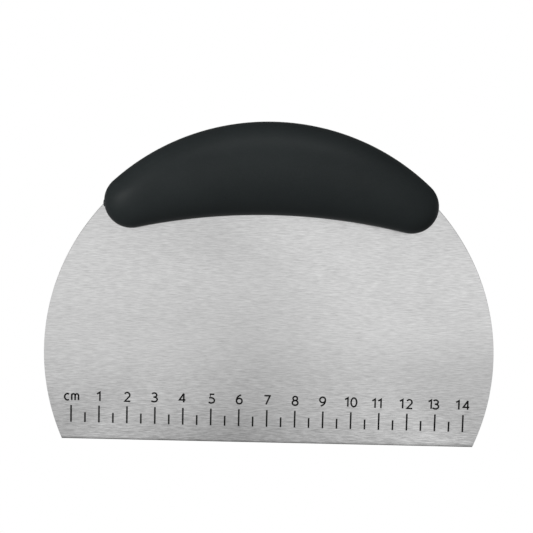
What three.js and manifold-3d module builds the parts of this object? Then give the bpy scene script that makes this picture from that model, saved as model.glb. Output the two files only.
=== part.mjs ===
// Bench scraper: a D-shaped steel blade clamped between the two moulded halves of a curved
// handle. Millimetres. The origin is the middle of the working edge, +X runs along that
// edge, +Y through the blade to the rear, and +Z up to the handle.
import * as THREE from 'three';
import Module from 'manifold-3d';
import { ParametricGeometry } from 'three/addons/geometries/ParametricGeometry.js';
import { mergeVertices } from 'three/addons/utils/BufferGeometryUtils.js';

const wasm = await Module();
wasm.setup();

// Blade: a disc of sheet steel cut straight across at the working edge.
const BLADE_RADIUS = 80;
const BLADE_CENTRE_Z = 31.4;
const BLADE_THICKNESS = 1;
const EDGE_BEVEL = 0.3;

// Handle outline: a top arc, a flatter arc below it and a round end that touches both.
const TOP_RADIUS = 82;
const TOP_CENTRE_Z = 33.4;
const UNDERSIDE_RADIUS = 212;
const UNDERSIDE_CENTRE_Z = -129.4;
const END_RADIUS = 9.5;

// Handle section: how far each half stands out from the blade, and how full it is.
const HALF_DEPTH = 11;
const SECTION_POWER = 2.3;
const TAPER_POWER = 3.2;
const WALL = 2.4;

// Fastening: bosses on the front half pass through the blade and take screws from the rear.
const BOSS_SPACING = 36;
const BOSS_CENTRE_Z = 97.5;
const BOSS_SIDE_Z = 92;
const BOSS_RADIUS = 3.2;
const WELL_BOSS_RADIUS = 5.2;
const CLEARANCE = 0.3;
const SCREW_RADIUS = 1.4;
const SCREW_HEAD_RADIUS = 2.7;
const SCREW_HEAD_HEIGHT = 2;
const SCREW_SEAT_Y = 3.2;
const SCREW_HEAD_SIDE = 1;
const SCREW_HEAD_SHOULDER = 1.6;
const SCREW_HEAD_SHOULDER_RADIUS = 2.4;
const SCREW_HEAD_CROWN_RADIUS = 1.7;
const SCREW_POINT_LENGTH = 2.8;
const SCREW_TIP_Y = -5.5;
const PILOT_SPARE_DEPTH = 1;
const RECESS_WIDTH = 0.8;
const RECESS_LENGTH = 3.2;
const RECESS_DEPTH = 1.1;
const PLUG_RADIUS = 3.6;
const PLUG_SEAT_Y = 6.5;

// Stiffening ribs across each half.
const RIB_X = [-45, -18, 18, 45];
const RIB_THICKNESS = 1.6;

// Fineness: steps along and across the handle's skin and its hollow, and round each arc.
const SKIN_STEPS = [40, 14];
const HOLLOW_STEPS = [24, 8];
const BLADE_ARC_STEPS = 72;
const CORNER_ARC_STEPS = 8;
const ROUND_STEPS = 24;
// The steps round each section of a half that its flat back takes.
const BACK_STEPS = 3;

const HALF_THICKNESS = BLADE_THICKNESS / 2;
// Further out than any surface of the part, for tools that cut right through.
const FAR = 20;
// Points closer together than this are one point.
const SAME_POINT = 1e-5;

const steel = { color: 0xc4c4c2, roughness: 0.34, metalness: 1 };
const blackPlastic = { color: 0x2b2e2e, roughness: 0.55, metalness: 0 };
const zincPlated = { color: 0xb9bcc0, roughness: 0.3, metalness: 1 };

// Turns a shape drawn in X and Z, extruded towards the viewer, into the part's own axes.
const SHAPE_TO_PART = new THREE.Matrix4().makeBasis(
  new THREE.Vector3(1, 0, 0),
  new THREE.Vector3(0, 0, 1),
  new THREE.Vector3(0, -1, 0),
);

// A closed geometry as a solid that can be joined and cut.
function toSolid(geometry) {
  const bare = geometry.clone();
  bare.deleteAttribute('normal');
  bare.deleteAttribute('uv');
  const merged = mergeVertices(bare, SAME_POINT);
  const triangles = [];
  for (let i = 0; i < merged.index.count; i += 3) {
    const [a, b, c] = [0, 1, 2].map((k) => merged.index.getX(i + k));
    if (a !== b && b !== c && c !== a) triangles.push(a, b, c);
  }
  return new wasm.Manifold(new wasm.Mesh({
    numProp: 3,
    vertProperties: new Float32Array(merged.attributes.position.array),
    triVerts: new Uint32Array(triangles),
  }));
}

function toGeometry(solid) {
  const mesh = solid.getMesh();
  const geometry = new THREE.BufferGeometry();
  geometry.setAttribute('position', new THREE.BufferAttribute(mesh.vertProperties, 3));
  geometry.setIndex(new THREE.BufferAttribute(mesh.triVerts, 1));
  geometry.computeVertexNormals();
  return geometry;
}

// A solid whose outline lies in X and Z and whose faces lie at two values of Y.
function plate(shape, frontY, rearY, steps = ROUND_STEPS) {
  const geometry = new THREE.ExtrudeGeometry(shape, {
    depth: rearY - frontY,
    bevelEnabled: false,
    curveSegments: steps,
  });
  geometry.applyMatrix4(SHAPE_TO_PART);
  geometry.translate(0, rearY, 0);
  return toSolid(geometry);
}

// A round bar along Y.
function bar(x, z, radius, frontY, rearY) {
  const geometry = new THREE.CylinderGeometry(radius, radius, rearY - frontY, ROUND_STEPS);
  geometry.translate(x, (rearY + frontY) / 2, z);
  return toSolid(geometry);
}

function box(x, z, width, height, frontY, rearY) {
  const geometry = new THREE.BoxGeometry(width, rearY - frontY, height);
  geometry.translate(x, (rearY + frontY) / 2, z);
  return toSolid(geometry);
}

// Points along an arc about the blade's centre, without the point at its end.
function addArc(points, radius, start, end, steps) {
  for (let i = 0; i < steps; i += 1) {
    const angle = start + ((end - start) * i) / steps;
    const x = radius * Math.cos(angle);
    points.push(new THREE.Vector2(x, BLADE_CENTRE_Z + radius * Math.sin(angle)));
  }
}

// The disc cut straight across. A grown outline makes the pocket that the blade lies in.
function bladeOutline(grow) {
  const radius = BLADE_RADIUS + grow;
  const dip = Math.asin((BLADE_CENTRE_Z + grow) / radius);
  const points = [];
  addArc(points, radius, -dip, 0, CORNER_ARC_STEPS);
  addArc(points, radius, 0, Math.PI, BLADE_ARC_STEPS);
  addArc(points, radius, Math.PI, Math.PI + dip, CORNER_ARC_STEPS);
  points.push(new THREE.Vector2(-radius * Math.cos(dip), -grow));
  return new THREE.Shape(points);
}

const bossPlaces = [
  { name: 'left', x: -BOSS_SPACING, z: BOSS_SIDE_Z },
  { name: 'centre', x: 0, z: BOSS_CENTRE_Z },
  { name: 'right', x: BOSS_SPACING, z: BOSS_SIDE_Z },
];

// A long three-sided strip that takes the corner off the working edge.
function bevelCutter(side) {
  const edge = side * (HALF_THICKNESS - EDGE_BEVEL);
  const outer = side * (HALF_THICKNESS + EDGE_BEVEL);
  const section = new THREE.Shape([
    new THREE.Vector2(edge, 0),
    new THREE.Vector2(edge, -EDGE_BEVEL),
    new THREE.Vector2(outer, -EDGE_BEVEL),
    new THREE.Vector2(outer, 2 * EDGE_BEVEL),
  ]);
  const geometry = new THREE.ExtrudeGeometry(section, {
    depth: 2 * BLADE_RADIUS,
    bevelEnabled: false,
  });
  geometry.applyMatrix4(new THREE.Matrix4().makeBasis(
    new THREE.Vector3(0, 1, 0),
    new THREE.Vector3(0, 0, 1),
    new THREE.Vector3(1, 0, 0),
  ));
  geometry.translate(-BLADE_RADIUS, 0, 0);
  return toSolid(geometry);
}

function makeBlade() {
  let solid = plate(bladeOutline(0), -HALF_THICKNESS, HALF_THICKNESS);
  for (const { x, z } of bossPlaces) {
    solid = solid.subtract(bar(x, z, BOSS_RADIUS + CLEARANCE, -FAR, FAR));
  }
  return solid.subtract(bevelCutter(-1)).subtract(bevelCutter(1));
}

// The centre of the right round end, which touches the top arc and the underside arc.
function endCentre() {
  const fromTop = TOP_RADIUS - END_RADIUS;
  const fromUnderside = UNDERSIDE_RADIUS + END_RADIUS;
  const z = (fromTop ** 2 - fromUnderside ** 2 - TOP_CENTRE_Z ** 2 + UNDERSIDE_CENTRE_Z ** 2)
    / (2 * (UNDERSIDE_CENTRE_Z - TOP_CENTRE_Z));
  return new THREE.Vector2(Math.sqrt(fromTop ** 2 - (z - TOP_CENTRE_Z) ** 2), z);
}

const END = endCentre();
const HALF_LENGTH = END.x + END_RADIUS;
const TOP_TANGENT_X = (END.x * TOP_RADIUS) / (TOP_RADIUS - END_RADIUS);
const UNDERSIDE_TANGENT_X = (END.x * UNDERSIDE_RADIUS) / (UNDERSIDE_RADIUS + END_RADIUS);

function rise(radius, x) {
  return Math.sqrt(Math.max(radius ** 2 - x ** 2, 0));
}

// The handle's upper and lower edge at x, for an outline drawn in by inset all round.
function outlineAt(x, inset) {
  const across = Math.abs(x);
  const endRise = rise(END_RADIUS - inset, across - END.x);
  const onTop = across < TOP_TANGENT_X * (1 - inset / TOP_RADIUS);
  const onUnderside = across < UNDERSIDE_TANGENT_X * (1 + inset / UNDERSIDE_RADIUS);
  return {
    top: onTop ? TOP_CENTRE_Z + rise(TOP_RADIUS - inset, x) : END.y + endRise,
    bottom: onUnderside
      ? UNDERSIDE_CENTRE_Z + rise(UNDERSIDE_RADIUS + inset, x)
      : END.y - endRise,
  };
}

// How far the half stands out at x: full in the middle, round at the ends.
function depthAt(x, inset) {
  const share = Math.min(Math.abs(x) / (HALF_LENGTH - inset), 1);
  return (HALF_DEPTH - inset) * (1 - share ** TAPER_POWER) ** (1 / SECTION_POWER);
}

// One half of the handle as a full dome with a flat back. side is -1 for the front half
// and 1 for the rear half, and backDepth is how far the back lies past the parting plane.
function halfDome(side, inset, backDepth, [stations, domeSteps]) {
  const loopSteps = domeSteps + BACK_STEPS;
  const geometry = new ParametricGeometry((u, v, target) => {
    const x = -(HALF_LENGTH - inset) * Math.cos(Math.PI * u);
    const { top, bottom } = outlineAt(x, inset);
    const step = Math.round(v * loopSteps) % loopSteps;
    if (step > domeSteps) {
      target.set(x, backDepth, step === domeSteps + 1 ? top : bottom);
      return;
    }
    const angle = Math.PI * (step / domeSteps - 0.5);
    const up = Math.sign(angle) * Math.abs(Math.sin(angle)) ** (2 / SECTION_POWER);
    const out = step % domeSteps === 0 ? 0 : Math.cos(angle) ** (2 / SECTION_POWER);
    target.set(x, -depthAt(x, inset) * out, (top + bottom + (top - bottom) * up) / 2);
  }, stations, loopSteps);
  if (side > 0) geometry.scale(-1, -1, 1);
  return toSolid(geometry);
}

// The hollow inside one half, less the ribs and bosses that stand in it.
function hollow(side, bossRadius) {
  let solid = halfDome(side, WALL, BLADE_THICKNESS, HOLLOW_STEPS);
  const [frontY, rearY] = side < 0 ? [-FAR, -HALF_THICKNESS] : [HALF_THICKNESS, FAR];
  for (const x of RIB_X) {
    solid = solid.subtract(box(x, BOSS_CENTRE_Z, RIB_THICKNESS, 2 * FAR, frontY, rearY));
  }
  for (const { x, z } of bossPlaces) {
    solid = solid.subtract(bar(x, z, bossRadius, frontY, rearY));
  }
  return solid;
}

function makeFrontShell() {
  let solid = halfDome(-1, 0, 0, SKIN_STEPS).subtract(hollow(-1, BOSS_RADIUS));
  solid = solid.subtract(plate(bladeOutline(CLEARANCE), -HALF_THICKNESS, FAR));
  for (const { x, z } of bossPlaces) {
    solid = solid.add(bar(x, z, BOSS_RADIUS, -HALF_DEPTH / 2, HALF_THICKNESS));
    const pilot = SCREW_RADIUS + CLEARANCE;
    solid = solid.subtract(bar(x, z, pilot, SCREW_TIP_Y - PILOT_SPARE_DEPTH, FAR));
  }
  return solid;
}

function makeRearShell() {
  let solid = halfDome(1, 0, 0, SKIN_STEPS).subtract(hollow(1, WELL_BOSS_RADIUS));
  solid = solid.subtract(plate(bladeOutline(CLEARANCE), -FAR, HALF_THICKNESS));
  for (const { x, z } of bossPlaces) {
    solid = solid.subtract(bar(x, z, SCREW_RADIUS + CLEARANCE, -FAR, FAR));
    solid = solid.subtract(bar(x, z, SCREW_HEAD_RADIUS + CLEARANCE, SCREW_SEAT_Y, FAR));
    solid = solid.subtract(bar(x, z, PLUG_RADIUS + CLEARANCE, PLUG_SEAT_Y, FAR));
  }
  return solid;
}

// A pan-head screw along Y with its head to the rear, turned from a profile.
function makeScrew(x, z) {
  const headTop = SCREW_SEAT_Y + SCREW_HEAD_HEIGHT;
  const profile = [
    [0, SCREW_TIP_Y],
    [SCREW_RADIUS, SCREW_TIP_Y + SCREW_POINT_LENGTH],
    [SCREW_RADIUS, SCREW_SEAT_Y],
    [SCREW_HEAD_RADIUS, SCREW_SEAT_Y],
    [SCREW_HEAD_RADIUS, SCREW_SEAT_Y + SCREW_HEAD_SIDE],
    [SCREW_HEAD_SHOULDER_RADIUS, SCREW_SEAT_Y + SCREW_HEAD_SHOULDER],
    [SCREW_HEAD_CROWN_RADIUS, headTop],
    [0, headTop],
  ].map(([r, y]) => new THREE.Vector2(r, y));
  const body = new THREE.LatheGeometry(profile, ROUND_STEPS);
  body.translate(x, 0, z);
  const floor = headTop - RECESS_DEPTH;
  return toSolid(body)
    .subtract(box(x, z, RECESS_LENGTH, RECESS_WIDTH, floor, FAR))
    .subtract(box(x, z, RECESS_WIDTH, RECESS_LENGTH, floor, FAR));
}

// A short round plug whose outer face follows the handle's surface.
function makePlug(x, z) {
  return bar(x, z, PLUG_RADIUS, PLUG_SEAT_Y, FAR).intersect(halfDome(1, 0, 0, SKIN_STEPS));
}

const scraper = new THREE.Group();

function addPiece(name, solid, look) {
  const mesh = new THREE.Mesh(toGeometry(solid), new THREE.MeshStandardMaterial(look));
  mesh.name = name;
  scraper.add(mesh);
}

addPiece('blade', makeBlade(), steel);
addPiece('front_handle_shell', makeFrontShell(), blackPlastic);
addPiece('rear_handle_shell', makeRearShell(), blackPlastic);
for (const { name, x, z } of bossPlaces) {
  addPiece(`screw_${name}`, makeScrew(x, z), zincPlated);
  addPiece(`plug_${name}`, makePlug(x, z), blackPlastic);
}

export default scraper;
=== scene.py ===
# Bench scraper: a steel blade with a centimetre rule, held by a two-part black handle.
# Lengths are in metres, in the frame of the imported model.
import math

import bmesh
import bpy
from mathutils import Matrix, Vector


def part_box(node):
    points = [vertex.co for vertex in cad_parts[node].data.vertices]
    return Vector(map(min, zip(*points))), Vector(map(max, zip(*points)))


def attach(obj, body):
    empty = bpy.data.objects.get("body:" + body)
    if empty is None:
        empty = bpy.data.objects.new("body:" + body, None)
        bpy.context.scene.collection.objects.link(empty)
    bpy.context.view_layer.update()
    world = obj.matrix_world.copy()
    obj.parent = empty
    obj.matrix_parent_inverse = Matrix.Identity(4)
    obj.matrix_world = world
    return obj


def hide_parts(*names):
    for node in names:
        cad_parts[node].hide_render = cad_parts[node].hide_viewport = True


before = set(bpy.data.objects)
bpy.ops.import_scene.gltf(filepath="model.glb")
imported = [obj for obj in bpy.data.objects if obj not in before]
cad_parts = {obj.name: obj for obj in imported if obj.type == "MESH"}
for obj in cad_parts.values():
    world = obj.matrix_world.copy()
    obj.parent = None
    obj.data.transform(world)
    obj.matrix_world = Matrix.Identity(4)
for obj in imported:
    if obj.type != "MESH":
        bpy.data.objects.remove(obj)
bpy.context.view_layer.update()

MM = 0.001

# Blade. Its outline and thickness are read from the frame.
_, blade_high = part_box("blade")
BLADE_RADIUS = blade_high.x
BLADE_CENTRE_Z = blade_high.z - blade_high.x
HALF_THICKNESS = blade_high.y
WORKING_BEVEL = 0.36 * MM
ROUND_BEVEL = 0.22 * MM
BLADE_STEPS = 360
BLADE_SHARP_ANGLE = 50

# Handle outline: a top arc, a flatter arc below it and a round end that touches both.
shell_low, shell_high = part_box("front_handle_shell")
HALF_DEPTH = -shell_low.y
TOP_RADIUS = 82 * MM
TOP_CENTRE_Z = shell_high.z - TOP_RADIUS
UNDERSIDE_RADIUS = 212 * MM
UNDERSIDE_CENTRE_Z = -129.4 * MM
END_RADIUS = 9.5 * MM

# The section across the handle and its taper towards the ends are superellipses.
SECTION_POWER = 2.3
TAPER_POWER = 3.2
WALL = 2.4 * MM
HANDLE_SHARP_ANGLE = 40

# Moulded edges: the rounding that makes the parting line and the lip on the blade. The lip
# starts LIP_OVERLAP inside the blade's face, so that no gap shows. Near the handle's tips
# the rounding and the lip are no more than a share of its depth there. The flat back stops
# LIP_TUCK of the rounding inside the lip.
RIM_RADIUS = 0.3 * MM
RIM_SHARE = 0.3
RIM_STEPS = 4
LIP_OVERLAP = 0.01 * MM
LIP_SHARE = 0.4
LIP_TUCK = 0.2

# Sections along the handle, the first one FIRST_STATION of a step in from the tip, and the
# rows of points across them.
SKIN_STATIONS = 180
SKIN_ROWS = 44
HOLLOW_STATIONS = 72
HOLLOW_ROWS = 20
FIRST_STATION = 0.02

# Fastening, inside the handle. A screw's hole ends PILOT_END past its tip. FAR is well
# outside the handle.
CLEARANCE = 0.3 * MM
BOSS_RADIUS = 3.2 * MM
WELL_BOSS_RADIUS = 5.2 * MM
RIB_PLACES = (-45 * MM, -18 * MM, 18 * MM, 45 * MM)
RIB_THICKNESS = 1.6 * MM
ROUND_STEPS = 64
FAR = 20 * MM
SCREW_RADIUS = 1.4 * MM
SCREW_HEAD_HEIGHT = 2 * MM
PILOT_END = 1 * MM
BOSS_NAMES = ("left", "centre", "right")
PLUG_EDGE = 0.25 * MM
PLUG_EDGE_ANGLES = (0, math.pi / 6, math.pi / 3, math.pi / 2)
PLUG_FACE_RINGS = (0.75, 0.5, 0.25)

# Where each boss has its screw and plug, read from the frame.
bosses = {}
for boss_name in BOSS_NAMES:
    screw_low, screw_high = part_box(f"screw_{boss_name}")
    plug_low, plug_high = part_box(f"plug_{boss_name}")
    bosses[boss_name] = {
        "x": (screw_low.x + screw_high.x) / 2,
        "z": (screw_low.z + screw_high.z) / 2,
        "tip_y": screw_low.y,
        "seat_y": screw_high.y - SCREW_HEAD_HEIGHT,
        "head_radius": (screw_high.x - screw_low.x) / 2,
        "plug_y": plug_low.y,
        "plug_radius": (plug_high.x - plug_low.x) / 2,
    }

# Rule along the working edge. CM is the distance from one long mark to the next, and
# RULE_START is the foot of the first.
CM = 10.014 * MM
LAST_CM = 14
RULE_START = Vector((-70.3 * MM, 0, 6.18 * MM))
RULE_TURN = math.radians(-0.25)
LONG_MARK = 6.2 * MM
SHORT_MARK = 3.65 * MM
MARK_WIDTH = 0.58 * MM
DIGIT_HEIGHT = 3.8 * MM
DIGIT_FOOT = 7.95 * MM
DIGIT_STROKE = 0.57 * MM
DIGIT_WIDENING = 1.14
UNIT_WIDTH = 4.96 * MM

# How far the unit and the single numbers stand to the right of their marks, in millimetres.
SHIFTS = {"cm": 0.16, "1": -0.23, "2": 0.16, "3": -0.27, "4": -0.23, "5": 0.18, "6": 0.07,
          "7": 0, "8": 0, "9": -0.21}
# Where the two digits of a longer number start, in millimetres from their mark.
PAIRS = {"10": (-2.21, -0.04), "11": (-2.5, -0.39), "12": (-2.67, -0.11),
         "13": (-2.49, -0.92), "14": (-2.64, -0.01)}
# How far some of them stand below the line of the others, in millimetres.
DROPS = {"cm": 0.23, "1": 0.32, "2": 0.16, "3": 0.07, "11": 0.22, "12": 0.1}

# How far the marks stand out of the steel and reach into it.
INK_PROUD = 0.02 * MM
INK_DEEP = 0.03 * MM

# The sharpest corners of a line are mitred no further than for this cosine.
MITRE_LIMIT = 0.5

# Points closer than this are one point.
SAME_POINT = 0.001 * MM


# ---------------------------------------------------------------- mesh helpers

def make_object(name, points, faces):
    mesh = bpy.data.meshes.new(name)
    mesh.from_pydata([tuple(p) for p in points], [], faces)
    mesh.validate()
    piece = bpy.data.objects.new(name, mesh)
    bpy.context.scene.collection.objects.link(piece)
    return piece


def face_outward(piece):
    work = bmesh.new()
    work.from_mesh(piece.data)
    bmesh.ops.remove_doubles(work, verts=work.verts, dist=SAME_POINT)
    bmesh.ops.recalc_face_normals(work, faces=work.faces)
    work.to_mesh(piece.data)
    work.free()


def apply_modifiers(piece):
    graph = bpy.context.evaluated_depsgraph_get()
    mesh = bpy.data.meshes.new_from_object(piece.evaluated_get(graph))
    old = piece.data
    piece.modifiers.clear()
    piece.data = mesh
    mesh.name = piece.name
    bpy.data.meshes.remove(old)


def combine(piece, tool, operation):
    modifier = piece.modifiers.new("combine", "BOOLEAN")
    modifier.object = tool
    modifier.operation = operation
    modifier.solver = "MANIFOLD"
    apply_modifiers(piece)
    bpy.data.objects.remove(tool)


def cut(piece, tool):
    combine(piece, tool, "DIFFERENCE")


def join(piece, tool):
    combine(piece, tool, "UNION")


def shade(piece, angle):
    piece.data.shade_smooth()
    piece.data.set_sharp_from_angle(angle=math.radians(angle))


def bar(x, z, radius, front_y, rear_y, steps=ROUND_STEPS):
    """A round bar along Y, used to cut holes and to make bosses."""
    ring = []
    for step in range(steps):
        angle = 2 * math.pi * step / steps
        ring.append((x + radius * math.cos(angle), z + radius * math.sin(angle)))
    points = [(px, front_y, pz) for px, pz in ring] + [(px, rear_y, pz) for px, pz in ring]
    faces = [tuple(range(steps)), tuple(range(2 * steps - 1, steps - 1, -1))]
    for step in range(steps):
        after = (step + 1) % steps
        faces.append((step, step + steps, after + steps, after))
    piece = make_object("bar", points, faces)
    face_outward(piece)
    return piece


def block(x, z, width, height, front_y, rear_y):
    points = []
    for y in (front_y, rear_y):
        for dx, dz in ((-0.5, -0.5), (0.5, -0.5), (0.5, 0.5), (-0.5, 0.5)):
            points.append((x + dx * width, y, z + dz * height))
    faces = [(0, 1, 2, 3), (7, 6, 5, 4)]
    for k in range(4):
        after = (k + 1) % 4
        faces.append((k, k + 4, after + 4, after))
    piece = make_object("block", points, faces)
    face_outward(piece)
    return piece


# ---------------------------------------------------------------- blade

def blade_ring(inset, foot_z):
    """The blade's outline drawn in by inset, cut straight across at foot_z."""
    radius = BLADE_RADIUS - inset
    dip = math.asin((BLADE_CENTRE_Z - foot_z) / radius)
    ring = []
    for step in range(BLADE_STEPS + 1):
        angle = -dip + (math.pi + 2 * dip) * step / BLADE_STEPS
        ring.append((radius * math.cos(angle), BLADE_CENTRE_Z + radius * math.sin(angle)))
    return ring


def make_blade():
    """Four rings, from the front face over its bevel to the rear face, then the holes."""
    last = BLADE_STEPS
    points = []
    for inset, foot_z, arc_y, foot_y in (
        (ROUND_BEVEL, WORKING_BEVEL, -HALF_THICKNESS, -HALF_THICKNESS),
        (0, 0, ROUND_BEVEL - HALF_THICKNESS, WORKING_BEVEL - HALF_THICKNESS),
        (0, 0, HALF_THICKNESS - ROUND_BEVEL, HALF_THICKNESS - WORKING_BEVEL),
        (ROUND_BEVEL, WORKING_BEVEL, HALF_THICKNESS, HALF_THICKNESS),
    ):
        for step, (x, z) in enumerate(blade_ring(inset, foot_z)):
            y = foot_y if step in (0, last) else arc_y
            points.append((x, y, z))
    count = last + 1
    faces = [tuple(range(count)), tuple(range(4 * count - 1, 3 * count - 1, -1))]
    for ring in range(3):
        for step in range(count):
            after = (step + 1) % count
            low = ring * count
            high = low + count
            faces.append((low + step, low + after, high + after, high + step))
    piece = make_object("brushed_blade", points, faces)
    face_outward(piece)
    for place in bosses.values():
        hole = BOSS_RADIUS + CLEARANCE
        cut(piece, bar(place["x"], place["z"], hole, -FAR, FAR))
    shade(piece, BLADE_SHARP_ANGLE)
    return piece


# ---------------------------------------------------------------- handle

def end_centre():
    """The centre of the right round end, which touches the top arc and the underside arc."""
    from_top = TOP_RADIUS - END_RADIUS
    from_underside = UNDERSIDE_RADIUS + END_RADIUS
    squares = from_top**2 - from_underside**2 - TOP_CENTRE_Z**2 + UNDERSIDE_CENTRE_Z**2
    z = squares / (2 * (UNDERSIDE_CENTRE_Z - TOP_CENTRE_Z))
    return math.sqrt(from_top**2 - (z - TOP_CENTRE_Z) ** 2), z


END_X, END_Z = end_centre()
HALF_LENGTH = END_X + END_RADIUS
TOP_TANGENT_X = END_X * TOP_RADIUS / (TOP_RADIUS - END_RADIUS)
UNDERSIDE_TANGENT_X = END_X * UNDERSIDE_RADIUS / (UNDERSIDE_RADIUS + END_RADIUS)

# The nib at the left tip: its half sizes and its centre.
NIB_SIZE = Vector((0.42, 0.5, 1.3)) * MM
NIB_PLACE = Vector((0.16 * MM - HALF_LENGTH, -0.52 * MM, END_Z - 0.8 * MM))
NIB_SEGMENTS = 24
NIB_RINGS = 16


def rise(radius, x):
    return math.sqrt(max(radius**2 - x**2, 0))


def outline_at(x, inset):
    """The handle's upper and lower edge at x, for an outline drawn in by inset all round."""
    across = abs(x)
    end_rise = rise(END_RADIUS - inset, across - END_X)
    top = END_Z + end_rise
    bottom = END_Z - end_rise
    if across < TOP_TANGENT_X * (1 - inset / TOP_RADIUS):
        top = TOP_CENTRE_Z + rise(TOP_RADIUS - inset, x)
    if across < UNDERSIDE_TANGENT_X * (1 + inset / UNDERSIDE_RADIUS):
        bottom = UNDERSIDE_CENTRE_Z + rise(UNDERSIDE_RADIUS + inset, x)
    return top, bottom


def outward(x, upper):
    """The direction out of the outline at its upper or lower edge, in X and Z."""
    across = abs(x)
    top, bottom = outline_at(x, 0)
    if upper and across < TOP_TANGENT_X:
        way = (x, top - TOP_CENTRE_Z)
    elif not upper and across < UNDERSIDE_TANGENT_X:
        way = (-x, UNDERSIDE_CENTRE_Z - bottom)
    else:
        way = (math.copysign(max(across - END_X, 0), x), (top if upper else bottom) - END_Z)
    length = math.hypot(*way)
    return way[0] / length, way[1] / length


def depth_at(x, inset):
    share = min(abs(x) / (HALF_LENGTH - inset), 1)
    return (HALF_DEPTH - inset) * (1 - share**TAPER_POWER) ** (1 / SECTION_POWER)


def section_point(x, inset, angle):
    """A point of the skin at x. angle is -90 degrees at its lower edge, 90 at its upper."""
    top, bottom = outline_at(x, inset)
    up = math.copysign(abs(math.sin(angle)) ** (2 / SECTION_POWER), angle)
    out = max(math.cos(angle), 0) ** (2 / SECTION_POWER)
    return x, depth_at(x, inset) * out, (top + bottom + (top - bottom) * up) / 2


def rim_row(x, upper, rim_y, radius, share):
    """A point on the rounding between the skin and the rim. share 0 is on the rim."""
    turn = share * math.pi / 2
    y = rim_y + radius * (1 - math.cos(turn))
    draw_in = radius * (1 - math.sin(turn))
    out = min(y / depth_at(x, 0), 1)
    angle = math.acos(out ** (SECTION_POWER / 2))
    px, _, pz = section_point(x, 0, angle if upper else -angle)
    nx, nz = outward(x, upper)
    return px - nx * draw_in, y, pz - nz * draw_in


def skin_section(x):
    """The skin of one half at x, from its lower rim over the outside to its upper rim."""
    depth = depth_at(x, 0)
    radius = min(RIM_RADIUS, RIM_SHARE * depth)
    low_rim = min(HALF_THICKNESS - LIP_OVERLAP, LIP_SHARE * depth)
    shares = [step / RIM_STEPS for step in range(RIM_STEPS)]
    low_angle = math.acos(((low_rim + radius) / depth) ** (SECTION_POWER / 2))
    high_angle = math.acos((radius / depth) ** (SECTION_POWER / 2))
    section = [rim_row(x, False, low_rim, radius, share) for share in shares]
    for row in range(SKIN_ROWS + 1):
        angle = -low_angle + (low_angle + high_angle) * row / SKIN_ROWS
        section.append(section_point(x, 0, angle))
    section += [rim_row(x, True, 0, radius, share) for share in reversed(shares)]
    # The edge of the flat back, just inside the lower lip.
    low_x, _, low_z = section[0]
    nx, nz = outward(x, False)
    tuck = LIP_TUCK * radius
    section.append((low_x - nx * tuck, 0, low_z - nz * tuck))
    return section


def hollow_section(x):
    """The room inside one half at x, closed by a straight line beyond the blade."""
    section = []
    for row in range(HOLLOW_ROWS + 1):
        angle = math.pi * (row / HOLLOW_ROWS - 0.5)
        section.append(section_point(x, WALL, angle))
    top, bottom = outline_at(x, WALL)
    section.append((x, -2 * HALF_THICKNESS, top))
    section.append((x, -2 * HALF_THICKNESS, bottom))
    return section


def loft(name, sections, side):
    """A closed solid through the sections. side is -1 for the front half, 1 for the rear."""
    count = len(sections[0])
    points = [(x, side * y, z) for section in sections for x, y, z in section]
    faces = [tuple(range(count)), tuple(range(len(points) - 1, len(points) - count - 1, -1))]
    for station in range(len(sections) - 1):
        for row in range(count):
            after = (row + 1) % count
            low = station * count
            high = low + count
            faces.append((low + row, low + after, high + after, high + row))
    piece = make_object(name, points, faces)
    face_outward(piece)
    return piece


def stations(length, count):
    """Places along X, closer together towards the ends."""
    steps = count + 2 * FIRST_STATION
    return [-length * math.cos(math.pi * (step + FIRST_STATION) / steps)
            for step in range(count + 1)]


def half_skin(name, side):
    places = stations(HALF_LENGTH, SKIN_STATIONS)
    return loft(name, [skin_section(x) for x in places], side)


def cut_hollow(piece, side, boss_radius):
    """Takes out the inside of one half, but leaves its ribs and bosses."""
    places = stations(HALF_LENGTH - WALL, HOLLOW_STATIONS)
    room = loft("room", [hollow_section(x) for x in places], side)
    near = side * HALF_THICKNESS
    far = side * FAR
    for x in RIB_PLACES:
        cut(room, block(x, bosses["centre"]["z"], RIB_THICKNESS, 2 * FAR, near, far))
    for place in bosses.values():
        cut(room, bar(place["x"], place["z"], boss_radius, near, far))
    cut(piece, room)


def make_gate_nib():
    """The small rounded nib left where the mould filled, at the handle's left tip."""
    work = bmesh.new()
    bmesh.ops.create_uvsphere(
        work, u_segments=NIB_SEGMENTS, v_segments=NIB_RINGS, radius=1)
    mesh = bpy.data.meshes.new("gate_nib")
    work.to_mesh(mesh)
    work.free()
    mesh.transform(Matrix.Translation(NIB_PLACE) @ Matrix.Diagonal((*NIB_SIZE, 1)))
    nib = bpy.data.objects.new("gate_nib", mesh)
    bpy.context.scene.collection.objects.link(nib)
    return nib


def make_front_shell():
    """The front half, whose bosses reach through the blade and take the screws."""
    piece = half_skin("front_grip", -1)
    cut_hollow(piece, -1, BOSS_RADIUS)
    pocket = BLADE_RADIUS + CLEARANCE
    cut(piece, bar(0, BLADE_CENTRE_Z, pocket, -HALF_THICKNESS, FAR, BLADE_STEPS))
    for place in bosses.values():
        x, z = place["x"], place["z"]
        join(piece, bar(x, z, BOSS_RADIUS, -HALF_DEPTH / 2, HALF_THICKNESS))
        cut(piece, bar(x, z, SCREW_RADIUS + CLEARANCE, place["tip_y"] - PILOT_END, FAR))
    join(piece, make_gate_nib())
    shade(piece, HANDLE_SHARP_ANGLE)
    return piece


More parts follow.
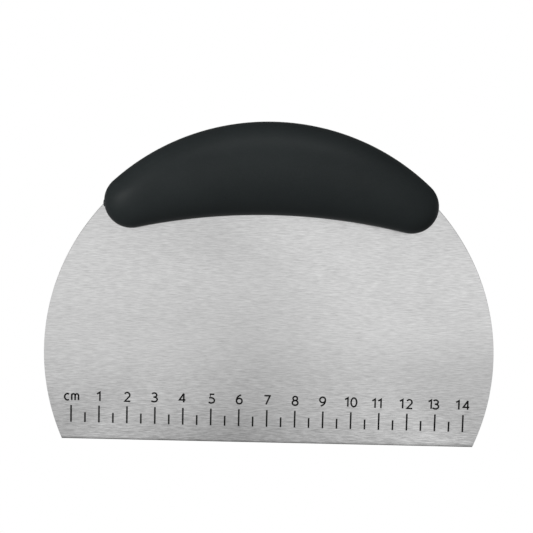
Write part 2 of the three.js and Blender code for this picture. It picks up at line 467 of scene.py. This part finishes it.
def make_rear_shell():
    """The rear half, with a stepped well for each screw and its plug."""
    piece = half_skin("rear_grip", 1)
    cut_hollow(piece, 1, WELL_BOSS_RADIUS)
    pocket = BLADE_RADIUS + CLEARANCE
    cut(piece, bar(0, BLADE_CENTRE_Z, pocket, -FAR, HALF_THICKNESS, BLADE_STEPS))
    for place in bosses.values():
        x, z = place["x"], place["z"]
        cut(piece, bar(x, z, SCREW_RADIUS + CLEARANCE, -FAR, FAR))
        cut(piece, bar(x, z, place["head_radius"] + CLEARANCE, place["seat_y"], FAR))
        cut(piece, bar(x, z, place["plug_radius"] + CLEARANCE, place["plug_y"], FAR))
    shade(piece, HANDLE_SHARP_ANGLE)
    return piece


def surface_y(x, z):
    """How far the rear skin stands out at a point of the outline."""
    top, bottom = outline_at(x, 0)
    up = abs(2 * z - top - bottom) / (top - bottom)
    return depth_at(x, 0) * (1 - up**SECTION_POWER) ** (1 / SECTION_POWER)


def make_plug(side_name):
    """A round plug whose face follows the handle and whose edge is rounded off."""
    place = bosses[side_name]
    radius = place["plug_radius"]
    rings = [(radius, None)]
    rings += [(radius - PLUG_EDGE * (1 - math.cos(t)), PLUG_EDGE * (1 - math.sin(t)))
              for t in PLUG_EDGE_ANGLES]
    rings += [(radius * share, 0) for share in PLUG_FACE_RINGS]
    points = []
    for ring_radius, sink in rings:
        for step in range(ROUND_STEPS):
            angle = 2 * math.pi * step / ROUND_STEPS
            x = place["x"] + ring_radius * math.cos(angle)
            z = place["z"] + ring_radius * math.sin(angle)
            y = place["plug_y"] if sink is None else surface_y(x, z) - sink
            points.append((x, y, z))
    points.append((place["x"], surface_y(place["x"], place["z"]), place["z"]))
    faces = [tuple(range(ROUND_STEPS))]
    for ring in range(len(rings) - 1):
        for step in range(ROUND_STEPS):
            after = (step + 1) % ROUND_STEPS
            low = ring * ROUND_STEPS
            high = low + ROUND_STEPS
            faces.append((low + step, low + after, high + after, high + step))
    last = (len(rings) - 1) * ROUND_STEPS
    for step in range(ROUND_STEPS):
        faces.append((last + step, last + (step + 1) % ROUND_STEPS, len(points) - 1))
    piece = make_object(f"plug_cap_{side_name}", points, faces)
    face_outward(piece)
    shade(piece, HANDLE_SHARP_ANGLE)
    return piece


# ---------------------------------------------------------------- rule

def arc(cx, cz, rx, rz, start, end, steps=20):
    """Points on an ellipse, from one angle to the other, in degrees."""
    points = []
    for step in range(steps + 1):
        angle = math.radians(start + (end - start) * step / steps)
        points.append((cx + rx * math.cos(angle), cz + rz * math.sin(angle)))
    return points


# Each figure is a list of strokes in a box one unit high. The strokes are centre lines. One
# that ends where it starts is a loop.
FIGURES = {
    "0": [arc(0.28, 0.5, 0.27, 0.5, 90, 450, 36)],
    "1": [[(0.05, 0.8), (0.33, 1), (0.33, 0)]],
    "2": [arc(0.25, 0.71, 0.25, 0.29, 155, -35) + [(0.02, 0), (0.55, 0)]],
    "3": [
        arc(0.22, 0.765, 0.24, 0.235, 150, -90) + [(0.14, 0.53)],
        [(0.14, 0.53)] + arc(0.2, 0.265, 0.31, 0.265, 90, -145),
    ],
    "4": [[(0.42, 0), (0.42, 1)], [(0.42, 1), (0, 0.27), (0.58, 0.27)]],
    "5": [[(0.5, 1), (0.1, 1), (0.07, 0.55)] + arc(0.2, 0.3, 0.31, 0.3, 115, -140)],
    "6": [
        arc(0.28, 0.31, 0.27, 0.31, 180, 540, 30),
        arc(0.53, 0.36, 0.52, 0.64, 98, 180, 14),
    ],
    "7": [[(0, 1), (0.55, 1), (0.17, 0)]],
    "8": [
        arc(0.28, 0.765, 0.21, 0.235, -90, 270, 28),
        arc(0.28, 0.265, 0.27, 0.265, 90, 450, 30),
    ],
    "9": [
        arc(0.28, 0.69, 0.27, 0.31, 0, 360, 30),
        arc(0.03, 0.64, 0.52, 0.64, -82, 0, 14),
    ],
    "c": [arc(0.28, 0.36, 0.27, 0.36, 55, 305)],
    "m": [
        [(0, 0.72), (0, 0)],
        [(0, 0.45)] + arc(0.17, 0.5, 0.16, 0.22, 165, 0, 10) + [(0.33, 0)],
        [(0.33, 0.45)] + arc(0.5, 0.5, 0.16, 0.22, 165, 0, 10) + [(0.66, 0)],
    ],
}


def ribbon(points, width, closed):
    """The two edges of a flat band along a line, mitred at its corners."""
    left = []
    right = []
    last = len(points) - 1
    for k, (px, pz) in enumerate(points):
        here = Vector((px, pz))
        back = Vector(points[k - 1]) if k > 0 or closed else None
        on = Vector(points[(k + 1) % len(points)]) if k < last or closed else None
        before = (here - back).normalized() if back else (on - here).normalized()
        after = (on - here).normalized() if on else before
        way = (before + after).normalized()
        across = Vector((-way.y, way.x))
        reach = width / 2 / max(abs(way.dot(after)), MITRE_LIMIT)
        left.append((px + across.x * reach, pz + across.y * reach))
        right.append((px - across.x * reach, pz - across.y * reach))
    return left, right


def band(points, width):
    """A thin closed solid that follows a line on the blade's front face."""
    closed = (Vector(points[0]) - Vector(points[-1])).length < SAME_POINT
    if closed:
        points = points[:-1]
    left, right = ribbon(points, width, closed)
    front = -HALF_THICKNESS - INK_PROUD
    back = -HALF_THICKNESS + INK_DEEP
    solid_points = []
    for (lx, lz), (rx, rz) in zip(left, right):
        solid_points += [(lx, front, lz), (rx, front, rz), (rx, back, rz), (lx, back, lz)]
    count = len(solid_points)
    faces = [] if closed else [(0, 1, 2, 3), (count - 1, count - 2, count - 3, count - 4)]
    for k in range(len(points) if closed else len(points) - 1):
        low = 4 * k
        high = (low + 4) % count
        for corner in range(4):
            after = (corner + 1) % 4
            faces.append((low + corner, low + after, high + after, high + corner))
    return solid_points, faces


def on_rule(along, up):
    """A place on the rule, which lies very slightly turned to the working edge."""
    cosine, sine = math.cos(RULE_TURN), math.sin(RULE_TURN)
    x = RULE_START.x + along * cosine - up * sine
    z = RULE_START.z + along * sine + up * cosine
    return x, z


def figure_span(letter):
    """The lowest and highest X of a figure's centre lines."""
    places = [px for stroke in FIGURES[letter] for px, _ in stroke]
    return min(places), max(places)


def strokes_of(text, centre):
    """The strokes of a word or number that belongs to the mark at centre along the rule.

    They come as lists of lines: first strokes, second strokes and third strokes. Lines in
    one list never touch.
    """
    size = DIGIT_HEIGHT - DIGIT_STROKE
    wide = size * DIGIT_WIDENING
    if text in PAIRS:
        starts = [place * MM for place in PAIRS[text]]
    elif text == "cm":
        first = SHIFTS[text] * MM - UNIT_WIDTH / 2
        starts = (first, first + UNIT_WIDTH - wide * figure_span("m")[1])
    else:
        low, high = figure_span(text)
        starts = (SHIFTS[text] * MM - wide * (high - low) / 2,)
    foot = DIGIT_FOOT + DIGIT_STROKE / 2 - DROPS.get(text, 0) * MM
    layers = ([], [], [])
    for letter, start in zip(text, starts):
        low, _ = figure_span(letter)
        for layer, stroke in zip(layers, FIGURES[letter]):
            line = []
            for px, pz in stroke:
                along = centre + start + (px - low) * wide
                line.append(on_rule(along, foot + pz * size))
            layer.append(line)
    return layers


def make_bands(name, lines, width):
    points = []
    faces = []
    for line in lines:
        more_points, more_faces = band(line, width)
        shift = len(points)
        points += more_points
        faces += [tuple(shift + k for k in face) for face in more_faces]
    piece = make_object(name, points, faces)
    face_outward(piece)
    return piece


def make_rule_marks():
    lines = []
    for half_cm in range(2 * LAST_CM + 1):
        along = half_cm * CM / 2
        height = LONG_MARK if half_cm % 2 == 0 else SHORT_MARK
        lines.append([on_rule(along, 0), on_rule(along, height)])
    return make_bands("rule_marks", lines, MARK_WIDTH)


def make_rule_figures():
    layers = strokes_of("cm", 0)
    for number in range(1, LAST_CM + 1):
        for layer, lines in zip(layers, strokes_of(str(number), number * CM)):
            layer += lines
    piece = make_bands("rule_figures", layers[0], DIGIT_STROKE)
    for lines in layers[1:]:
        join(piece, make_bands("strokes", lines, DIGIT_STROKE))
    face_outward(piece)
    return piece


# ---------------------------------------------------------------- materials

# Noise values between which a colour or a gloss runs from its first to its second value.
NOISE_LOW = 0.3
NOISE_HIGH = 0.7

# Each noise is (scale along X, Y and Z, detail, roughness), with the scales per metre.
STEEL_STREAKS = ((330, 3600, 3600), 4, 0.7)
STEEL_HAIRLINES = ((150, 8000, 8000), 2, 0.6)
STEEL_CLOUDS = ((14, 60, 60), 3, 0.5)
STEEL_HAIRLINE_SHARE = 0.4
STEEL_CLOUD_SHARE = 0.07
STEEL_MIDDLE_TONE = 0.5
STEEL_COLOURS = ((0.52, 0.52, 0.52), (0.98, 0.98, 0.98))
STEEL_ROUGHNESS = (0.4, 0.28)

# Below GRAIN_RISE_HEIGHT the steel's grain grows stronger. At the working edge its contrast is
# 1 + GRAIN_RISE times as high.
# This only raises the grain's contrast towards the working edge; its mean tone stays the
# same.
GRAIN_RISE_HEIGHT = 32 * MM
GRAIN_RISE = 1.2

MARK_SPECULAR = 0.15
MARK_SPECKS = ((900, 2600, 2600), 3, 0.7)
MARK_COLOURS = (0.008, 0.02)
MARK_ROUGHNESS = (0.7, 0.5)

PLASTIC_SPECULAR = 0.035
PLASTIC_PEBBLE = ((2600, 2600, 2600), 2, 0.6)
PLASTIC_HAZE = ((45, 45, 45), 3, 0.5)
PLASTIC_HAZE_SHARE = 0.5
PLASTIC_COLOURS = ((0.0125, 0.0148, 0.0153), (0.0176, 0.0207, 0.0212))
PLASTIC_ROUGHNESS = (0.36, 0.46)

ZINC_CLOUDS = ((500, 500, 500), 3, 0.5)
ZINC_TURNING = ((300, 6000, 300), 2, 0.5)
ZINC_TURNING_SHARE = 0.5
ZINC_COLOURS = ((0.55, 0.57, 0.6), (0.72, 0.74, 0.76))
ZINC_ROUGHNESS = (0.38, 0.24)

# Each bump is (strength, depth).
STEEL_BUMP = (0.25, 0.02 * MM)
MARK_BUMP = (0.3, 0.01 * MM)
PLASTIC_BUMP = (0.25, 0.03 * MM)
ZINC_BUMP = (0.2, 0.01 * MM)


def new_material(name):
    material = bpy.data.materials.new(name)
    material.use_nodes = True
    return material, material.node_tree, material.node_tree.nodes["Principled BSDF"]


def math_node(tree, operation, *values):
    node = tree.nodes.new("ShaderNodeMath")
    node.operation = operation
    for socket, value in zip(node.inputs, values):
        if isinstance(value, (int, float)):
            socket.default_value = value
        else:
            tree.links.new(value, socket)
    return node.outputs[0]


def clamped(tree, value):
    node = tree.nodes.new("ShaderNodeClamp")
    tree.links.new(value, node.inputs["Value"])
    return node.outputs["Result"]


def axes(tree, output):
    """The X, Y and Z of a texture coordinate."""
    place = tree.nodes.new("ShaderNodeTexCoord")
    split = tree.nodes.new("ShaderNodeSeparateXYZ")
    tree.links.new(place.outputs[output], split.inputs["Vector"])
    return split.outputs


def stretched_noise(tree, scale, detail, roughness):
    """Noise in the object's own space, with a separate scale on each axis."""
    place = tree.nodes.new("ShaderNodeTexCoord")
    mapping = tree.nodes.new("ShaderNodeMapping")
    noise = tree.nodes.new("ShaderNodeTexNoise")
    mapping.inputs["Scale"].default_value = scale
    noise.inputs["Scale"].default_value = 1
    noise.inputs["Detail"].default_value = detail
    noise.inputs["Roughness"].default_value = roughness
    tree.links.new(place.outputs["Object"], mapping.inputs["Vector"])
    tree.links.new(mapping.outputs["Vector"], noise.inputs["Vector"])
    return noise.outputs["Fac"]


def ramp(tree, source, stops):
    """A colour ramp through (place, grey or colour) stops."""
    node = tree.nodes.new("ShaderNodeValToRGB")
    for k, (place, tone) in enumerate(stops):
        stop = node.color_ramp.elements[k] if k < 2 else node.color_ramp.elements.new(place)
        stop.position = place
        stop.color = (*tone, 1) if isinstance(tone, tuple) else (tone, tone, tone, 1)
    tree.links.new(source, node.inputs["Fac"])
    return node.outputs["Color"]


def blend(tree, first, second, amount):
    node = tree.nodes.new("ShaderNodeMix")
    node.data_type = "RGBA"
    node.blend_type = "MIX"
    node.inputs["Factor"].default_value = amount
    tree.links.new(first, node.inputs["A"])
    tree.links.new(second, node.inputs["B"])
    return node.outputs["Result"]


def vary(tree, shader, socket, source, values):
    """Runs a shader input from the first value to the second as the noise rises."""
    stops = list(zip((NOISE_LOW, NOISE_HIGH), values))
    tree.links.new(ramp(tree, source, stops), shader.inputs[socket])


def bump(tree, shader, source, strength, depth):
    node = tree.nodes.new("ShaderNodeBump")
    node.inputs["Strength"].default_value = strength
    node.inputs["Distance"].default_value = depth
    tree.links.new(source, node.inputs["Height"])
    tree.links.new(node.outputs["Normal"], shader.inputs["Normal"])


def stronger_below(tree, tone):
    """The steel's tone with more contrast towards the working edge."""
    height = math_node(tree, "DIVIDE", axes(tree, "Object")["Z"], GRAIN_RISE_HEIGHT)
    near_edge = clamped(tree, math_node(tree, "SUBTRACT", 1, height))
    contrast = math_node(tree, "MULTIPLY_ADD", near_edge, GRAIN_RISE, 1)
    offset = math_node(tree, "SUBTRACT", tone, STEEL_MIDDLE_TONE)
    return math_node(tree, "MULTIPLY_ADD", offset, contrast, STEEL_MIDDLE_TONE)


def brushed_steel():
    """Stainless sheet with a fine grain along X: short streaks in tone, gloss and height."""
    material, tree, shader = new_material("brushed_stainless")
    shader.inputs["Metallic"].default_value = 1
    streaks = stretched_noise(tree, *STEEL_STREAKS)
    hairlines = stretched_noise(tree, *STEEL_HAIRLINES)
    clouds = stretched_noise(tree, *STEEL_CLOUDS)
    grain = blend(tree, streaks, hairlines, STEEL_HAIRLINE_SHARE)
    tone = stronger_below(tree, blend(tree, grain, clouds, STEEL_CLOUD_SHARE))
    vary(tree, shader, "Base Color", tone, STEEL_COLOURS)
    vary(tree, shader, "Roughness", tone, STEEL_ROUGHNESS)
    bump(tree, shader, grain, *STEEL_BUMP)
    return material


def etched_mark():
    """The rule's marks: dark, dull and a little uneven, as etched by a laser."""
    material, tree, shader = new_material("etched_mark")
    shader.inputs["Metallic"].default_value = 0
    shader.inputs["Specular IOR Level"].default_value = MARK_SPECULAR
    specks = stretched_noise(tree, *MARK_SPECKS)
    vary(tree, shader, "Base Color", specks, MARK_COLOURS)
    vary(tree, shader, "Roughness", specks, MARK_ROUGHNESS)
    bump(tree, shader, specks, *MARK_BUMP)
    return material


def moulded_plastic():
    """Black plastic from a spark-eroded mould: a fine pebble, slightly uneven in gloss."""
    material, tree, shader = new_material("black_moulded_plastic")
    shader.inputs["Metallic"].default_value = 0
    shader.inputs["Specular IOR Level"].default_value = PLASTIC_SPECULAR
    pebble = stretched_noise(tree, *PLASTIC_PEBBLE)
    haze = stretched_noise(tree, *PLASTIC_HAZE)
    both = blend(tree, pebble, haze, PLASTIC_HAZE_SHARE)
    vary(tree, shader, "Base Color", both, PLASTIC_COLOURS)
    vary(tree, shader, "Roughness", both, PLASTIC_ROUGHNESS)
    bump(tree, shader, pebble, *PLASTIC_BUMP)
    return material


def plated_steel():
    """Zinc-plated screw steel: bright, with a faint cloud and fine turning lines."""
    material, tree, shader = new_material("zinc_plated_steel")
    shader.inputs["Metallic"].default_value = 1
    clouds = stretched_noise(tree, *ZINC_CLOUDS)
    turning = stretched_noise(tree, *ZINC_TURNING)
    both = blend(tree, clouds, turning, ZINC_TURNING_SHARE)
    vary(tree, shader, "Base Color", both, ZINC_COLOURS)
    vary(tree, shader, "Roughness", both, ZINC_ROUGHNESS)
    bump(tree, shader, turning, *ZINC_BUMP)
    return material


# ---------------------------------------------------------------- setting

# The camera looks at TARGET and is rolled a little. LENS is its focal length in millimetres.
TARGET = Vector((-1.32 * MM, 0, 64.11 * MM))
CAMERA_DISTANCE = 706.4 * MM
CAMERA_AZIMUTH = math.radians(0.57)
CAMERA_ELEVATION = math.radians(10.14)
CAMERA_ROLL = math.radians(1.12)
LENS = 135.08
NEAREST = 10 * MM
FARTHEST = 50

# Studio brightness. Each tone belongs to the stop of the same rank. The sky's stops run
# from level, 0, to straight up, 1. It has one set of tones in front and one at the sides,
# and is dimmer behind the object. For a direction of length 1, those changes are complete
# at an X of SKY_MIDDLE_WIDTH and a Y of SKY_TURN.
SKY_STOPS = (0, 0.17, 0.42, 0.77, 1)
SKY_MIDDLE = (0.69, 0.82, 0.66, 0.52, 0.48)
SKY_SIDES = (0.8, 0.98, 0.67, 0.5, 0.48)
SKY_MIDDLE_WIDTH = 0.8
SKY_BEHIND = 0.2
SKY_TURN = 0.3

# The floor's stops are shares of FLOOR_REACH, measured from the blade to the front or the
# rear. The middle is FLOOR_MIDDLE_WIDTH from the full left and right tones, and it widens
# with the distance: it is twice as wide FLOOR_SPREAD away from the blade.
FLOOR_HALF_SIZE = 4
FLOOR_GAP = 0.02 * MM
FLOOR_REACH = 2.0
FLOOR_STOPS = (0, 0.02, 0.06, 0.15, 0.35, 1)
FLOOR_LEFT = (0.9, 0.87, 0.9, 0.71, 0.77, 0.66)
FLOOR_MIDDLE = (0.39, 0.51, 0.57, 0.6, 0.68, 0.64)
FLOOR_RIGHT = (0.86, 0.78, 0.75, 0.93, 1.02, 0.82)
FLOOR_SPREAD = 0.7
FLOOR_MIDDLE_WIDTH = 0.1
FLOOR_MIDDLE_PLACE = -12 * MM

# Near the blade, the floor is dimmer from its two ends outwards.
END_SHADE_FROM = 62 * MM
END_SHADE_FADE = 16 * MM
END_SHADE_REACH = 200 * MM
END_SHADE = 0.7

# Right under the blade the floor is dark, as it is where something stands on it.
CONTACT_REACH = 1.2 * MM
CONTACT_SHADE = 0.03

# How much of that brightness reaches dull surfaces, which the softboxes light instead.
DULL_SHARE = 0.1

# Softboxes for the handle: azimuth, height angle, width, height and power. The front ones
# light all of it. The rear one lights only the rear half, so that no glare runs over its
# top in the front view.
SOFTBOX_DISTANCE = 1.2
SOFTBOX_TARGET = Vector((0, 0, 0.09))
FRONT_SOFTBOXES = {
    "front": (0, 0, 0.9, 0.35, 4.7),
    "front_high": (0, 45, 0.9, 0.4, 7.6),
    "high": (0, 60, 0.9, 0.4, 2.6),
    "left_front": (-45, 20, 0.4, 0.4, 1.5),
    "left_spot": (-50, 0, 0.12, 0.12, 8),
}
REAR_SOFTBOXES = {
    "rear": (180, 40, 0.9, 0.4, 12),
}


def toward(azimuth, height_angle):
    """The direction from the object to a place round it. Azimuth 0 is straight in front."""
    flat = math.cos(height_angle)
    x = flat * math.sin(azimuth)
    y = -flat * math.cos(azimuth)
    return Vector((x, y, math.sin(height_angle)))


def add_camera():
    data = bpy.data.cameras.new("camera")
    data.lens = LENS
    data.clip_start = NEAREST
    data.clip_end = FARTHEST
    camera = bpy.data.objects.new("camera", data)
    bpy.context.scene.collection.objects.link(camera)
    way = toward(CAMERA_AZIMUTH, CAMERA_ELEVATION)
    camera.location = TARGET + way * CAMERA_DISTANCE
    turn = (-way).to_track_quat("-Z", "Y").to_matrix().to_4x4()
    spin = Matrix.Rotation(CAMERA_ROLL, 4, Vector((0, 0, 1)))
    camera.rotation_euler = (turn @ spin).to_euler()
    bpy.context.scene.camera = camera


def light_ramp(tree, source, stops, tones):
    """A brightness that follows the tones, which may be above 1."""
    peak = max(tones)
    share = ramp(tree, source, [(stop, tone / peak) for stop, tone in zip(stops, tones)])
    return math_node(tree, "MULTIPLY", share, peak)


def mix_light(tree, first, second, share):
    """first where share is 0, second where it is 1."""
    keep = math_node(tree, "SUBTRACT", 1, share)
    one = math_node(tree, "MULTIPLY", first, keep)
    return math_node(tree, "ADD", one, math_node(tree, "MULTIPLY", second, share))


def seen_by(tree, brightness):
    """White to the camera, dimmed for dull surfaces and as it is in reflections."""
    path = tree.nodes.new("ShaderNodeLightPath")
    dull = math_node(tree, "MULTIPLY", brightness, DULL_SHARE)
    lit = mix_light(tree, brightness, dull, path.outputs["Is Diffuse Ray"])
    return mix_light(tree, lit, 1, path.outputs["Is Camera Ray"])


def sky_light(tree):
    """The sky's brightness by direction."""
    way = axes(tree, "Generated")
    middle = light_ramp(tree, way["Z"], SKY_STOPS, SKY_MIDDLE)
    sides = light_ramp(tree, way["Z"], SKY_STOPS, SKY_SIDES)
    across = math_node(tree, "ABSOLUTE", way["X"])
    sideways = clamped(tree, math_node(tree, "DIVIDE", across, SKY_MIDDLE_WIDTH))
    lit = mix_light(tree, middle, sides, sideways)
    behind = clamped(tree, math_node(tree, "DIVIDE", way["Y"], SKY_TURN))
    dimmed = math_node(tree, "MULTIPLY", lit, SKY_BEHIND)
    return mix_light(tree, lit, dimmed, behind)


def add_world():
    """White to the camera. To everything else, a soft studio that is brightest in front."""
    world = bpy.data.worlds.new("studio")
    bpy.context.scene.world = world
    world.use_nodes = True
    tree = world.node_tree
    tree.nodes.clear()
    output = tree.nodes.new("ShaderNodeOutputWorld")
    sky = tree.nodes.new("ShaderNodeBackground")
    sky.inputs["Color"].default_value = (1, 1, 1, 1)
    tree.links.new(seen_by(tree, sky_light(tree)), sky.inputs["Strength"])
    tree.links.new(sky.outputs["Background"], output.inputs["Surface"])


def floor_light(tree):
    """The floor's brightness by place."""
    place = axes(tree, "Object")
    reach = math_node(tree, "ABSOLUTE", place["Y"])
    share = math_node(tree, "DIVIDE", reach, FLOOR_REACH)
    left = light_ramp(tree, share, FLOOR_STOPS, FLOOR_LEFT)
    middle = light_ramp(tree, share, FLOOR_STOPS, FLOOR_MIDDLE)
    right = light_ramp(tree, share, FLOOR_STOPS, FLOOR_RIGHT)
    spread = math_node(tree, "MULTIPLY_ADD", reach, 1 / FLOOR_SPREAD, 1)
    aside = math_node(tree, "DIVIDE", place["X"], spread)
    from_middle = math_node(tree, "SUBTRACT", aside, FLOOR_MIDDLE_PLACE)
    across = math_node(tree, "DIVIDE", from_middle, FLOOR_MIDDLE_WIDTH)
    to_right = clamped(tree, across)
    to_left = clamped(tree, math_node(tree, "MULTIPLY", across, -1))
    lit = mix_light(tree, mix_light(tree, middle, right, to_right), left, to_left)
    lit = shade_ends(tree, lit, aside, reach)
    near = clamped(tree, math_node(tree, "DIVIDE", reach, CONTACT_REACH))
    shaded = math_node(tree, "MULTIPLY", lit, CONTACT_SHADE)
    return mix_light(tree, shaded, lit, near)


def shade_ends(tree, lit, aside, reach):
    """Dims the floor near the blade, from its two ends outwards."""
    past_end = math_node(tree, "SUBTRACT", math_node(tree, "ABSOLUTE", aside), END_SHADE_FROM)
    at_end = clamped(tree, math_node(tree, "DIVIDE", past_end, END_SHADE_FADE))
    nearby = clamped(tree, math_node(tree, "MULTIPLY_ADD", reach, -1 / END_SHADE_REACH, 1))
    dimmed = math_node(tree, "MULTIPLY", lit, END_SHADE)
    return mix_light(tree, lit, dimmed, math_node(tree, "MULTIPLY", at_end, nearby))


def add_floor():
    """A pale floor, white to the camera. Elsewhere it glows as a lit floor would."""
    low, high = -FLOOR_HALF_SIZE, FLOOR_HALF_SIZE
    corners = [(low, low, 0), (high, low, 0), (high, high, 0), (low, high, 0)]
    floor = make_object("floor", corners, [(0, 1, 2, 3)])
    floor.location.z = -FLOOR_GAP
    material = bpy.data.materials.new("pale_floor")
    material.use_nodes = True
    tree = material.node_tree
    tree.nodes.clear()
    output = tree.nodes.new("ShaderNodeOutputMaterial")
    glow = tree.nodes.new("ShaderNodeEmission")
    tree.links.new(seen_by(tree, floor_light(tree)), glow.inputs["Strength"])
    tree.links.new(glow.outputs["Emission"], output.inputs["Surface"])
    floor.data.materials.append(material)


def add_softbox(name, azimuth, height_angle, width, height, power, lit):
    """A soft light that falls only on the pieces in a collection."""
    data = bpy.data.lights.new(name, "AREA")
    data.shape = "RECTANGLE"
    data.size = width
    data.size_y = height
    data.energy = power
    light = bpy.data.objects.new(name, data)
    bpy.context.scene.collection.objects.link(light)
    way = toward(math.radians(azimuth), math.radians(height_angle))
    light.location = SOFTBOX_TARGET + way * SOFTBOX_DISTANCE
    light.rotation_euler = (-way).to_track_quat("-Z", "Y").to_euler()
    light.visible_camera = False
    light.light_linking.receiver_collection = lit


def light_pieces(group, pieces, softboxes):
    lit = bpy.data.collections.new(group)
    for piece in pieces:
        lit.objects.link(piece)
    for name, values in softboxes.items():
        add_softbox(name, *values, lit)


# ---------------------------------------------------------------- the object

steel = brushed_steel()
ink = etched_mark()
plastic = moulded_plastic()
plated = plated_steel()


def finish_piece(piece, material, slot, *replaced):
    piece.data.materials.clear()
    piece.data.materials.append(material)
    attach(piece, "root")
    if replaced:
        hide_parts(*replaced)


finish_piece(make_blade(), steel, "blade_steel", "blade")
finish_piece(make_rule_marks(), ink, "blade_steel")
finish_piece(make_rule_figures(), ink, "blade_steel")
handle_pieces = [make_front_shell(), make_rear_shell()]
finish_piece(handle_pieces[0], plastic, "handle_plastic", "front_handle_shell")
finish_piece(handle_pieces[1], plastic, "handle_plastic", "rear_handle_shell")
for boss_name in BOSS_NAMES:
    plug = make_plug(boss_name)
    finish_piece(plug, plastic, "plug_plastic", f"plug_{boss_name}")
    handle_pieces.append(plug)
    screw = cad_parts[f"screw_{boss_name}"]
    for material_slot in screw.material_slots:
        material_slot.material = plated

bpy.context.scene.view_settings.view_transform = "Standard"
add_camera()
add_world()
add_floor()
light_pieces("whole_handle", handle_pieces, FRONT_SOFTBOXES)
light_pieces("rear_half", handle_pieces[1:], REAR_SOFTBOXES)
